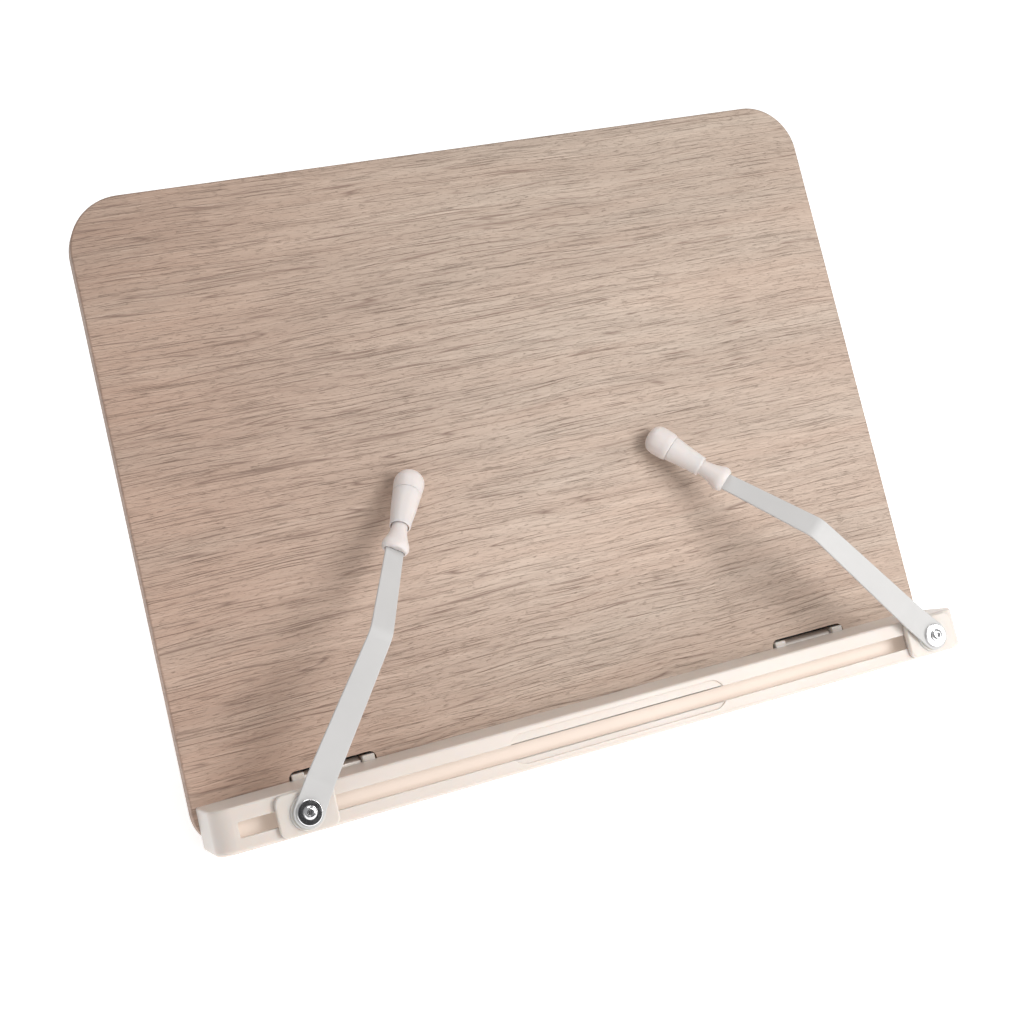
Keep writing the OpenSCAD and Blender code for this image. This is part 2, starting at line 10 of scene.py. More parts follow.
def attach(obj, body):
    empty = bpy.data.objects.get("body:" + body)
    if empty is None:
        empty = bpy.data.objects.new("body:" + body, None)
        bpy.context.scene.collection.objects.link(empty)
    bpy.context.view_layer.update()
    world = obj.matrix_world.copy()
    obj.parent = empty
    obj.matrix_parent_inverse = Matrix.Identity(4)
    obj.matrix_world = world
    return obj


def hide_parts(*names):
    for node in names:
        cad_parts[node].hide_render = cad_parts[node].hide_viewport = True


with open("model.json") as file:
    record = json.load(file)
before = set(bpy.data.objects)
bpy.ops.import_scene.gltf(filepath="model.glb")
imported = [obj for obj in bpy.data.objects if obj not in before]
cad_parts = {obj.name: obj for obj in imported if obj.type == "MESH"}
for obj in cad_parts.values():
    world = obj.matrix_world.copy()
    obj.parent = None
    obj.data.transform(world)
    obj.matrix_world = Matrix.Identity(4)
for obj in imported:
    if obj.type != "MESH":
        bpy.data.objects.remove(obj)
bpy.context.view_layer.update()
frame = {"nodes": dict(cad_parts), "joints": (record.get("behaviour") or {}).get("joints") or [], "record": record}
NODES = frame["nodes"]
JOINTS = {j["name"]: j for j in frame["joints"]}
SIDES = ("left", "right")
MM = 0.001

# ---------- the board's own frame ----------
# In millimetres: x to the right, y up the board, z out of its face. y is 0 on the ledge's shelf.
HINGE_BELOW_SHELF = 1.6
BOARD_T = 9.0
face_normal = Vector(JOINTS["arm_left_swing"]["axis"]).normalized()
TILT = math.atan2(-face_normal.y, face_normal.z)
hinge = Vector(JOINTS["board_tilt"]["pos_m"])
BOARD = (
    Matrix.Translation(hinge)
    @ Matrix.Rotation(TILT, 4, "X")
    @ Matrix.Diagonal((MM, MM, MM, 1.0))
    @ Matrix.Translation((0.0, HINGE_BELOW_SHELF, BOARD_T / 2))
)
TO_BOARD = BOARD.inverted()


def board_box(node):
    """Lowest and highest corner of a CAD node in the board's frame."""
    points = [TO_BOARD @ v.co for v in NODES[node].data.vertices]
    low = Vector(min(p[i] for p in points) for i in range(3))
    high = Vector(max(p[i] for p in points) for i in range(3))
    return low, high


board_low, board_high = board_box("face_film")
HALF_W, TOP, LOW = board_high.x, board_high.y, board_low.y
# height of the shelf line (y = 0 in the board's frame) in object coordinates turned into that frame
SHELF_AT = -(TO_BOARD @ Vector((0, 0, 0))).y


# ---------- node helpers ----------
class Shader:
    """A principled material under construction."""

    def __init__(self, name):
        self.mat = bpy.data.materials.new(name)
        self.mat.use_nodes = True
        self.tree = self.mat.node_tree
        self.bsdf = self.tree.nodes["Principled BSDF"]

    def node(self, kind, **values):
        made = self.tree.nodes.new(kind)
        for key, value in values.items():
            setattr(made, key, value)
        return made

    def link(self, source, target):
        self.tree.links.new(source, target)

    def set(self, **values):
        for key, value in values.items():
            self.bsdf.inputs[key.replace("_", " ")].default_value = value

    def feed(self, socket, source):
        """Links a node's output to one of the shader's own sockets."""
        self.link(source, self.bsdf.inputs[socket])

    def coords(self, scale=(1, 1, 1), in_board=True):
        """Object coordinates in millimetres, turned into the board's frame if asked."""
        source = self.node("ShaderNodeTexCoord").outputs["Object"]
        if in_board:
            turn = self.node("ShaderNodeMapping", vector_type="POINT")
            turn.inputs["Rotation"].default_value = (-TILT, 0, 0)
            self.link(source, turn.inputs["Vector"])
            source = turn.outputs["Vector"]
        size = self.node("ShaderNodeMapping", vector_type="POINT")
        size.inputs["Scale"].default_value = tuple(s / MM for s in scale)
        self.link(source, size.inputs["Vector"])
        return size.outputs["Vector"]

    def noise(self, vector, scale, detail=4.0, rough=0.55):
        made = self.node("ShaderNodeTexNoise")
        made.inputs["Scale"].default_value = scale
        made.inputs["Detail"].default_value = detail
        made.inputs["Roughness"].default_value = rough
        self.link(vector, made.inputs["Vector"])
        return made.outputs["Fac"]

    def ramp(self, fac, stops):
        """Grey ramp from (place, grey) stops."""
        made = self.node("ShaderNodeValToRGB")
        while len(made.color_ramp.elements) < len(stops):
            made.color_ramp.elements.new(0.5)
        for element, (place, grey) in zip(made.color_ramp.elements, stops):
            element.position = place
            element.color = (grey, grey, grey, 1)
        self.link(fac, made.inputs["Fac"])
        return made.outputs["Color"]

    def mix(self, fac, a, b, blend="MIX"):
        """Colour mix; each of fac, a and b is a node's output or a plain value."""
        made = self.node("ShaderNodeMix", data_type="RGBA", blend_type=blend)
        for socket, value in (("Factor", fac), ("A", a), ("B", b)):
            self.put(made, socket, value)
        return made.outputs[2]

    def put(self, made, socket, value):
        """Links or sets the input of that name that the node's present mode uses."""
        wanted = [i for i in made.inputs if i.name == socket and i.enabled][0]
        if hasattr(value, "is_linked"):
            self.link(value, wanted)
        elif isinstance(value, tuple):
            wanted.default_value = (*value, 1)
        else:
            wanted.default_value = value

    def maths(self, operation, a, b=0.0):
        """Sum on one or two numbers, each a node's output or a plain value."""
        made = self.node("ShaderNodeMath", operation=operation)
        for i, value in enumerate((a, b)):
            if hasattr(value, "is_linked"):
                self.link(value, made.inputs[i])
            else:
                made.inputs[i].default_value = value
        return made.outputs[0]

    def bump(self, height, distance, strength):
        """Relief in the shading only; the distance is in metres."""
        made = self.node("ShaderNodeBump")
        made.inputs["Strength"].default_value = strength
        made.inputs["Distance"].default_value = distance
        self.link(height, made.inputs["Height"])
        self.feed("Normal", made.outputs["Normal"])


def srgb(r, g, b):
    """Linear colour from ordinary 0-255 screen values."""
    return tuple(
        ((c / 255 + 0.055) / 1.055) ** 2.4 if c > 10 else c / 255 / 12.92 for c in (r, g, b)
    )


# ---------- materials ----------
# tints of the film: pink in some streaks; warmer and darker towards its left edge, partly its own tone and partly
# painted shade; painted shade, a plain darkening, towards its top
PINK = (1.0, 0.93, 0.9)
LEFT_WARMTH_AND_SHADE = (0.93, 0.83, 0.79)
TOP_SHADE = (0.78, 0.78, 0.77)
CRACK_LINES = 9.0


def scaled(colour, factor):
    return tuple(min(1.0, factor * c) for c in colour)


def wood_film(name, light, dark, pore, depth):
    """Printed oak-look film: soft tones, fine fibres, pores and thin cracks along the width."""
    s = Shader(name)
    flat = s.coords()
    # a slow wave that bends the grain by a few millimetres
    warp = s.node("ShaderNodeVectorMath", operation="MULTIPLY_ADD")
    wave = s.node("ShaderNodeTexNoise")
    wave.inputs["Scale"].default_value = 0.018
    wave.inputs["Detail"].default_value = 1.0
    s.link(flat, wave.inputs["Vector"])
    s.link(wave.outputs["Color"], warp.inputs[0])
    warp.inputs[1].default_value = (0.0, 3.5, 0.0)
    s.link(flat, warp.inputs[2])

    def along(x, y, shift=0.0, detail=3.0, rough=0.55):
        """Noise stretched along the width: features per mm across and up, and its own place."""
        made = s.node("ShaderNodeMapping", vector_type="POINT")
        made.inputs["Location"].default_value = (shift, shift, shift)
        made.inputs["Scale"].default_value = (x, y, 0.1)
        s.link(warp.outputs[0], made.inputs["Vector"])
        return s.noise(made.outputs["Vector"], 1.0, detail, rough)

    tone = along(0.0045, 0.03, 3.0, 3.0)
    hue = along(0.006, 0.05, 41.0, 3.0)
    bands = along(0.006, 0.2, 7.0, 5.0, 0.62)
    fibres = along(0.03, 2.0, 11.0, 4.0, 0.62)
    dashes = along(0.03, 2.8, 17.0, 3.0, 0.62)
    specks = along(0.22, 3.6, 23.0, 2.0, 0.6)
    cracks = along(0.004, 0.13, 29.0, 2.0)
    patches = along(0.022, 0.4, 53.0, 3.0, 0.6)
    place = s.node("ShaderNodeSeparateXYZ")
    s.link(flat, place.inputs[0])

    # broad tones, with painted shade towards the left edge and the top
    base = s.mix(s.ramp(bands, [(0.3, 0.0), (0.7, 1.0)]), dark, light)
    base = s.mix(s.ramp(tone, [(0.4, 0.4), (0.6, 0.0)]), base, scaled(dark, 0.8))
    base = s.mix(s.ramp(hue, [(0.38, 0.0), (0.6, 0.7)]), base, PINK, "MULTIPLY")
    across = s.maths("MULTIPLY", place.outputs[0], 0.5 / HALF_W)
    across = s.maths("ADD", across, s.maths("MULTIPLY", hue, 0.5))
    # warmer and darker towards the left edge: partly the film's own tone, partly painted shade
    left_warmth_and_shade = s.ramp(s.maths("ADD", across, 0.25), [(0.1, 1.0), (0.48, 0.0)])
    base = s.mix(left_warmth_and_shade, base, LEFT_WARMTH_AND_SHADE, "MULTIPLY")
    # darker towards the top: painted shade
    height = s.maths("MULTIPLY", s.maths("SUBTRACT", place.outputs[1], SHELF_AT), 1 / TOP)
    base = s.mix(s.ramp(height, [(0.3, 0.0), (1.0, 1.0)]), base, TOP_SHADE, "MULTIPLY")
    dull = s.ramp(fibres, [(0.3, 0.45), (0.55, 0.0), (0.75, 0.0)])
    base = s.mix(dull, base, scaled(dark, 0.78))
    base = s.mix(s.ramp(fibres, [(0.55, 0.0), (0.8, 0.6)]), base, scaled(light, 1.16))

    # dark marks: pores in the darker tones, specks, and cracks in patches
    pores = s.ramp(dashes, [(0.33, 1.0), (0.41, 0.0)])
    pores = s.maths("MULTIPLY", pores, s.ramp(tone, [(0.36, 1.0), (0.66, 0.6)]))
    small = s.ramp(specks, [(0.31, 0.65), (0.39, 0.0)])
    ridge = s.maths("FRACT", s.maths("MULTIPLY", cracks, CRACK_LINES))
    ridge = s.maths("ABSOLUTE", s.maths("SUBTRACT", ridge, 0.5))
    line = s.ramp(ridge, [(0.0, 1.0), (0.1, 0.0)])
    patch = s.maths("SUBTRACT", patches, s.maths("MULTIPLY", across, 0.12))
    line = s.maths("MULTIPLY", line, s.ramp(patch, [(0.42, 0.0), (0.56, 1.0)]))
    marks = s.maths("MAXIMUM", s.maths("MAXIMUM", pores, small), line)
    base = s.mix(s.maths("MULTIPLY", marks, depth), base, pore)
    s.feed("Base Color", base)
    s.feed("Roughness", s.ramp(fibres, [(0.3, 0.6), (0.7, 0.5)]))
    s.bump(s.maths("SUBTRACT", s.maths("MULTIPLY", fibres, 0.7), marks), 0.0002, 0.9)
    return s.mat


def moulded(name, colour, shade, rough, subsurface=0.0, glow=0.0):
    """Moulded plastic: faint clouds, fine spark texture, and, if asked, an even glow that is painted light."""
    s = Shader(name)
    # the glow is painted light: the plastic shines by itself, though it is no lamp
    if glow:
        s.set(Emission_Color=(1.0, 0.86, 0.74, 1), Emission_Strength=glow)
    cloud = s.noise(s.coords((0.03, 0.03, 0.03), False), 1.0, 3.0)
    s.feed("Base Color", s.mix(s.ramp(cloud, [(0.3, 0.0), (0.7, 1.0)]), shade, colour))
    fine = s.noise(s.coords((2.2, 2.2, 2.2), False), 1.0, 2.0)
    s.feed("Roughness", s.ramp(fine, [(0.2, rough - 0.05), (0.8, rough + 0.06)]))
    if subsurface:
        s.set(
            Subsurface_Weight=subsurface, Subsurface_Scale=0.006, Subsurface_Radius=(1.0, 0.6, 0.4)
        )
    s.bump(fine, 0.00002, 0.35)
    return s.mat


def painted(name, colour, shade, rough):
    """Powder-coated steel: even colour with fine orange peel."""
    s = Shader(name)
    cloud = s.noise(s.coords((0.05, 0.05, 0.05), False), 1.0, 3.0)
    s.feed("Base Color", s.mix(s.ramp(cloud, [(0.3, 0.0), (0.7, 1.0)]), shade, colour))
    peel = s.noise(s.coords((1.1, 1.1, 1.1), False), 1.0, 2.0)
    s.feed("Roughness", s.ramp(peel, [(0.3, rough - 0.04), (0.7, rough + 0.05)]))
    s.bump(peel, 0.00003, 0.3)
    return s.mat


def metal(name, colour, shade, rough, brushed=(1, 1, 1), depth=0.00001, metallic=1.0):
    """Bare or plated metal with fine marks along its finish."""
    s = Shader(name)
    s.set(Metallic=metallic)
    marks = s.noise(s.coords(tuple(2.5 * b for b in brushed), False), 1.0, 4.0)
    s.feed("Base Color", s.mix(marks, shade, colour))
    s.feed("Roughness", s.ramp(marks, [(0.3, max(0.02, rough - 0.05)), (0.7, rough + 0.08)]))
    s.bump(marks, depth, 0.3)
    return s.mat


def rubber(name, colour):
    """Matt rubber with a dusty, slightly mottled surface."""
    s = Shader(name)
    mottle = s.noise(s.coords((0.5, 0.5, 0.5), False), 1.0, 5.0, 0.7)
    s.feed("Base Color", s.mix(mottle, colour, scaled(colour, 1.9)))
    s.feed("Roughness", s.ramp(mottle, [(0.3, 0.72), (0.7, 0.9)]))
    s.bump(mottle, 0.00008, 0.5)
    return s.mat


def fibreboard(name):
    """Pressed fibre core, seen in the hinge openings."""
    s = Shader(name)
    fleck = s.noise(s.coords((1.2, 1.2, 1.2)), 1.0, 6.0, 0.75)
    s.feed("Base Color", s.mix(fleck, srgb(96, 68, 46), srgb(176, 138, 104)))
    s.set(Roughness=0.9)
    s.bump(fleck, 0.0002, 0.6)
    return s.mat


FILM = dict(light=srgb(212, 193, 177), dark=srgb(195, 174, 158), pore=srgb(122, 98, 85), depth=0.84)
WOOD = wood_film("wood_film", **FILM)
BACK_WOOD = wood_film("wood_film_back", **FILM)
BAND = wood_film(
    "edge_band", light=srgb(196, 176, 160), dark=srgb(184, 162, 147),
    pore=srgb(160, 138, 124), depth=0.5,
)
CORE = fibreboard("fibreboard")
IVORY = moulded("ivory_plastic", srgb(219, 210, 203), srgb(215, 206, 198), 0.34, subsurface=0.3)
# lighter copy of the ivory with a warm glow, for the channel's walls: painted light in the shaded channel
IVORY_INNER_LIT = moulded(
    "ivory_plastic_inner_lit", srgb(228, 218, 210), srgb(224, 213, 204), 0.45, glow=0.15
)
IVORY_SOFT = moulded(
    "ivory_plastic_soft", srgb(228, 220, 217), srgb(224, 216, 212), 0.42, subsurface=0.2
)
# dark_plastic also colours the hinge shields, dark plates behind the hinge openings: painted shade for the gap
# there
DARK = moulded("dark_plastic", srgb(52, 52, 54), srgb(42, 42, 44), 0.5)
ARM = painted("arm_paint", srgb(202, 201, 200), srgb(198, 197, 196), 0.55)
FRAME = painted("frame_paint", srgb(232, 228, 222), srgb(226, 222, 216), 0.4)
WASHER = metal("washer_steel", (0.86, 0.86, 0.87), (0.82, 0.82, 0.83), 0.1, depth=0.000004)
SCREW = metal("screw_steel", (0.8, 0.8, 0.81), (0.74, 0.74, 0.75), 0.12, depth=0.000004)
# the polished steel is tinted warm cream and only partly metallic: painted reflection of the wood and ivory round
# it
STEEL_PAINTED_REFLECTION = metal("polished_steel", (0.9, 0.84, 0.78), (0.84, 0.78, 0.72), 0.34, metallic=0.7)
PLATED = metal("plated_steel", (0.66, 0.66, 0.67), (0.55, 0.55, 0.56), 0.28)
TRACK = metal("track_metal", (0.78, 0.78, 0.79), (0.7, 0.7, 0.71), 0.32, brushed=(1.0, 0.05, 0.05))
RUBBER = rubber("rubber", (0.028, 0.028, 0.03))

BY_SLOT = {
    "frame_paint": FRAME, "polished_steel": STEEL_PAINTED_REFLECTION, "plated_steel": PLATED, "rubber": RUBBER,
    "fibreboard": CORE, "wood_film": WOOD, "track_metal": TRACK, "dark_plastic": DARK,
    "arm_paint": ARM, "ivory_plastic": IVORY,
}
SLOT_OF = {part["node"]: part["material_slot"] for part in frame["record"]["subparts"]}
BODIES = frame["record"]["behaviour"]["bodies"]
BODY_OF = {node: body for body, members in BODIES.items() for node in members}


# ---------- mesh helpers ----------
# edge angles in degrees: from SHARP on an edge is rounded, from CRISP on it is shaded crisply
SHARP, CRISP = 35.0, 32.0


def place_mesh(name, verts, faces, place=BOARD):
    """A mesh from points in millimetres, set in the world by place, its faces turned outwards."""
    mesh = bpy.data.meshes.new(name)
    mesh.from_pydata([place @ Vector(v) for v in verts], [], faces)
    bm = bmesh.new()
    bm.from_mesh(mesh)
    bmesh.ops.recalc_face_normals(bm, faces=bm.faces)
    bm.to_mesh(mesh)
    bm.free()
    thing = bpy.data.objects.new(name, mesh)
    bpy.context.scene.collection.objects.link(thing)
    return thing


def arc(cx, cy, r, start, end, steps=10):
    """Points on an arc, angles in degrees."""
    angles = [math.radians(start + (end - start) * i / steps) for i in range(steps + 1)]
    return [(cx + r * math.cos(a), cy + r * math.sin(a)) for a in angles]


def round_rect(x0, y0, x1, y1, r, steps=8):
    """Points on a rectangle with round corners."""
    return (
        arc(x1 - r, y1 - r, r, 0, 90, steps) + arc(x0 + r, y1 - r, r, 90, 180, steps)
        + arc(x0 + r, y0 + r, r, 180, 270, steps) + arc(x1 - r, y0 + r, r, 270, 360, steps)
    )


def extruded(name, outline, low, high, place=BOARD, axes="xyz"):
    """Prism over an outline. axes says where the outline's two directions and the height go."""
    count = len(outline)
    order = ["xyz".index(a) for a in axes]
    verts = []
    for h in (low, high):
        for a, b in outline:
            point = [0.0, 0.0, 0.0]
            point[order[0]], point[order[1]], point[order[2]] = a, b, h
            verts.append(point)
    sides = [(i, (i + 1) % count, count + (i + 1) % count, count + i) for i in range(count)]
    faces = sides + [tuple(range(count)), tuple(range(2 * count - 1, count - 1, -1))]
    return place_mesh(name, verts, faces, place)


def box_solid(name, low, high, place=BOARD):
    """Box between two corners."""
    outline = [(low[0], low[1]), (high[0], low[1]), (high[0], high[1]), (low[0], high[1])]
    return extruded(name, outline, low[2], high[2], place)


def tube_faces(rows, count):
    """Faces between neighbouring rows of count points each."""
    faces = []
    for r in range(rows - 1):
        for i in range(count):
            j = (i + 1) % count
            faces.append((r * count + i, r * count + j, (r + 1) * count + j, (r + 1) * count + i))
    return faces


def end_faces(rows, count):
    """The two faces that close such a tube."""
    return [tuple(range(count)), tuple(range((rows - 1) * count, rows * count))]


def lathed(name, profile, place, axis="z", steps=64, oval=None):
    """Turned solid from (along, radius) points. oval(along) gives the two radius scales."""
    verts = []
    for along, radius in profile:
        wide, deep = oval(along) if oval else (1.0, 1.0)
        for i in range(steps):
            a = 2 * math.pi * i / steps
            p, q = radius * wide * math.cos(a), radius * deep * math.sin(a)
            verts.append((p, q, along) if axis == "z" else (p, along, q))
    rows = len(profile)
    closed = profile[0] == profile[-1]
    faces = tube_faces(rows, steps)
    if not closed:
        faces += end_faces(rows, steps)
    thing = place_mesh(name, verts, faces, place)
    if closed:
        weld(thing.data)
    return thing


def weld(mesh, flat=None):
    """Merges doubled points and, if asked, joins faces less than flat degrees apart."""
    bm = bmesh.new()
    bm.from_mesh(mesh)
    bmesh.ops.remove_doubles(bm, verts=bm.verts, dist=1e-6)
    if flat:
        bmesh.ops.dissolve_limit(bm, angle_limit=math.radians(flat), verts=bm.verts, edges=bm.edges)
    bmesh.ops.recalc_face_normals(bm, faces=bm.faces)
    bm.to_mesh(mesh)
    bm.free()


def corner_curve(start, corner, end, steps):
    """Points on the curve from start to end that is drawn towards corner."""
    shares = [i / steps for i in range(steps + 1)]
    return [(1 - t) ** 2 * start + 2 * t * (1 - t) * corner + t * t * end for t in shares]


def rounded(profile, radius, steps=4):
    """Profile with each inner corner replaced by a small curve; the two ends stay."""
    out = [profile[0]]
    for before, here, after in zip(profile, profile[1:], profile[2:]):
        h = Vector(here)
        a, b = Vector(before) - h, Vector(after) - h
        reach = min(radius, a.length * 0.45, b.length * 0.45)
        start, end = h + a.normalized() * reach, h + b.normalized() * reach
        out += [tuple(p) for p in corner_curve(start, h, end, steps)]
    return out + [profile[-1]]


def bevel(thing, width, segments=3, angle=SHARP):
    """Rounds every edge sharper than angle degrees. The width is in millimetres."""
    made = thing.modifiers.new("round", "BEVEL")
    made.width = width * MM
    made.segments = segments
    made.limit_method = "ANGLE"
    made.angle_limit = math.radians(angle)
    made.miter_outer = "MITER_ARC"
    return bake(thing)


def bevel_where(thing, width, segments, wanted):
    """Rounds the sharp edges whose middle satisfies wanted, in the board's frame."""
    bm = bmesh.new()
    bm.from_mesh(thing.data)
    edges = [
        e for e in bm.edges
        if len(e.link_faces) == 2 and e.calc_face_angle(0) > math.radians(SHARP)
        and wanted(TO_BOARD @ ((e.verts[0].co + e.verts[1].co) / 2))
    ]
    bmesh.ops.bevel(
        bm, geom=edges, offset=width * MM, segments=segments, profile=0.5, affect="EDGES"
    )
    bm.to_mesh(thing.data)
    bm.free()
    return thing


def bake(thing):
    """Applies every modifier, so that the mesh itself is the finished shape."""
    bpy.context.view_layer.update()
    graph = bpy.context.evaluated_depsgraph_get()
    shown = thing.evaluated_get(graph)
    done = bpy.data.meshes.new_from_object(shown, preserve_all_data_layers=True, depsgraph=graph)
    thing.modifiers.clear()
    thing.data = done
    return thing


def cut(thing, other):
    """Takes other out of thing, exactly; other is used up."""
    made = thing.modifiers.new("cut", "BOOLEAN")
    made.operation = "DIFFERENCE"
    made.object = other
    made.solver = "EXACT"
    bake(thing)
    bpy.data.objects.remove(other)
    return thing


def gather(name, things):
    """One object from several."""
    bm = bmesh.new()
    for thing in things:
        bm.from_mesh(thing.data)
    mesh = bpy.data.meshes.new(name)
    bm.to_mesh(mesh)
    bm.free()
    for thing in things:
        bpy.data.objects.remove(thing)
    made = bpy.data.objects.new(name, mesh)
    bpy.context.scene.collection.objects.link(made)
    return made


def finish(thing, material, node):
    """Gives a piece its material and lets it ride in place of the CAD node that it stands for."""
    thing.data.materials.clear()
    thing.data.materials.append(material)
    thing.data.shade_smooth()
    smooth_by_angle(thing)
    thing.modifiers.new("even", "WEIGHTED_NORMAL").keep_sharp = True
    bake(thing)
    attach(thing, BODY_OF[node])
    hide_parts(node)
    return thing


def smooth_by_angle(thing):
    """Edges sharper than CRISP degrees stay crisp; all the rest is shaded smoothly."""
    bm = bmesh.new()
    bm.from_mesh(thing.data)
    for edge in bm.edges:
        edge.smooth = len(edge.link_faces) == 2 and edge.calc_face_angle(0) < math.radians(CRISP)
    bm.to_mesh(thing.data)
    bm.free()


def refined(node, width):
    """The CAD node's own shape with its edges rounded."""
    mesh = NODES[node].data.copy()
    weld(mesh, flat=0.5)
    thing = bpy.data.objects.new(node + "_finished", mesh)
    bpy.context.scene.collection.objects.link(thing)
    bevel(thing, width, 2)
    return finish(thing, BY_SLOT[SLOT_OF[node]], node)


# ---------- board ----------
CORNER_TOP_R, CORNER_LOW_R = 23.5, 16.0
ARRIS_R = 0.8
FILM_T = 0.3
BAND_T = 1.6
NOTCH_R, NOTCH_TOP, NOTCH_GAP = 3.0, 3.5, 1.0
pin_low, pin_high = board_box("hinge_pin_right")
HINGE_X = (pin_low.x + pin_high.x) / 2
NOTCH_HALF = (pin_high.x - pin_low.x) / 2 + NOTCH_GAP


def notch_corners(side):
    """Outline of one hinge opening, from left to right, starting and ending on the lower edge."""
    x0, x1 = side * HINGE_X - NOTCH_HALF, side * HINGE_X + NOTCH_HALF
    r = NOTCH_R
    return (
        [(x0, LOW)] + arc(x0 + r, NOTCH_TOP - r, r, 180, 90, 5)
        + arc(x1 - r, NOTCH_TOP - r, r, 90, 0, 5) + [(x1, LOW)]
    )


def outer_path(inset):
    """From the right opening round the board to the left opening."""
    w, t, l = HALF_W, TOP, LOW
    return (
        [(HINGE_X + NOTCH_HALF, l + inset)]
        + arc(w - CORNER_LOW_R, l + CORNER_LOW_R, CORNER_LOW_R - inset, 270, 360, 12)
        + arc(w - CORNER_TOP_R, t - CORNER_TOP_R, CORNER_TOP_R - inset, 0, 90, 16)
        + arc(CORNER_TOP_R - w, t - CORNER_TOP_R, CORNER_TOP_R - inset, 90, 180, 16)
        + arc(CORNER_LOW_R - w, l + CORNER_LOW_R, CORNER_LOW_R - inset, 180, 270, 12)
        + [(-HINGE_X - NOTCH_HALF, l + inset)]
    )


def film_outline(inset):
    """Outline of a film, with the hinge openings and everything outside them inset."""
    lifted = [(x, max(u, LOW + inset)) for side in (-1, 1) for x, u in notch_corners(side)]
    return outer_path(inset)[:-1] + lifted[:-1]


def band_strip(name, paths, depths):
    """Edge band: the same number of points on each inset path, joined into a closed tube."""
    rows = len(paths[0])
    count = len(depths)
    verts = [(*paths[k][i], depths[k]) for i in range(rows) for k in range(count)]
    return place_mesh(name, verts, tube_faces(rows, count) + end_faces(rows, count))


def board():
    """Both films, and the edge band with its two rounded edges. The core stays the CAD's own."""
    outline = film_outline(ARRIS_R - 0.1)
    film = extruded("face_film_finished", outline, -FILM_T, 0.0)
    finish(film, WOOD, "face_film")
    back = extruded("back_film_finished", outline, -BOARD_T, FILM_T - BOARD_T)
    finish(back, BACK_WOOD, "back_film")
    a, t = ARRIS_R, BOARD_T
    steps = [math.radians(x) for x in (0, 22.5, 45, 67.5, 90)]
    section = [(a - a * math.sin(s), a * math.cos(s) - a) for s in steps]
    section += [(a - a * math.cos(s), -t + a - a * math.sin(s)) for s in steps]
    section += [(BAND_T, -t), (BAND_T, 0.0)]
    insets = [inset for inset, _ in section]
    # the band's front lies a hair under the film's face, so that the two never fight
    depths = [n - 0.01 if n > -0.001 else n for _, n in section]
    ring = band_strip("band_ring", [outer_path(i) for i in insets], depths)
    left, right = NOTCH_HALF - HINGE_X, HINGE_X - NOTCH_HALF
    foot = band_strip("band_foot", [[(left, LOW + i), (right, LOW + i)] for i in insets], depths)
    finish(gather("edge_band_finished", [ring, foot]), BAND, "edge_band")


# ---------- ledge ----------
LEDGE_R = 8.0
ledge_high = board_box("ledge_rail")[1]
LEDGE_HALF, LEDGE_D, LEDGE_LOW = ledge_high.x, ledge_high.z, -17.7
WALL = 2.4
HOLLOW_D = 24.5
SLOT_HALF, SLOT_U, SLOT_HALF_H = 163.4, -9.1, 3.05
# the channel behind the slot, in which the nuts run: from, to in depth, its floor, and its end gap
CHANNEL, CHANNEL_LOW, CHANNEL_END = (26.3, 31.9), -15.4, 2.0
RECESS_HALF, RECESS_U, RECESS_R, RECESS_D = 44, -8.6, 6.2, 0.8
# rounds cut out of the ledge for the base's hinge barrels
RELIEF_R, RELIEF_LEN = 5.4, 24.8
LUG_R, LUG_HALF = 4.2, 2.7
POSTS_X = (-158, -60, 60, 158)


def ledge_plan():
    """Ledge outline from above, as (x, n)."""
    h, d, r = LEDGE_HALF, LEDGE_D, LEDGE_R
    front = arc(h - r, d - r, r, 0, 90, 10) + arc(r - h, d - r, r, 90, 180, 10)
    return [(-h, 0.0), (h, 0.0)] + front


def hinge_lug(x):
    """Lug of the ledge that holds one end of a hinge pin."""
    u, n, r = -HINGE_BELOW_SHELF, -BOARD_T / 2, LUG_R
    side = arc(n, u, r, 270, 90, 14)
    side += [(n + 2, u + r), (1.3, u + 4.0), (1.3, -0.4), (1.3, -6.0), (1.0, -12.0)]
    side += [(n + 2, -12.0), (n + 2, u - r)]
    lug = extruded("lug", side, x - LUG_HALF, x + LUG_HALF, axes="zyx")
    return bevel(lug, 0.5, 3)


def in_channel(p):
    """Whether a point lies on the walls of the channel behind the slot."""
    return (
        CHANNEL_LOW - 0.1 < p.y < 0.1 - WALL
        and CHANNEL[0] - 0.1 < p.z < CHANNEL[1] + 0.1
        and abs(p.x) < SLOT_HALF + CHANNEL_END + 0.1
    )


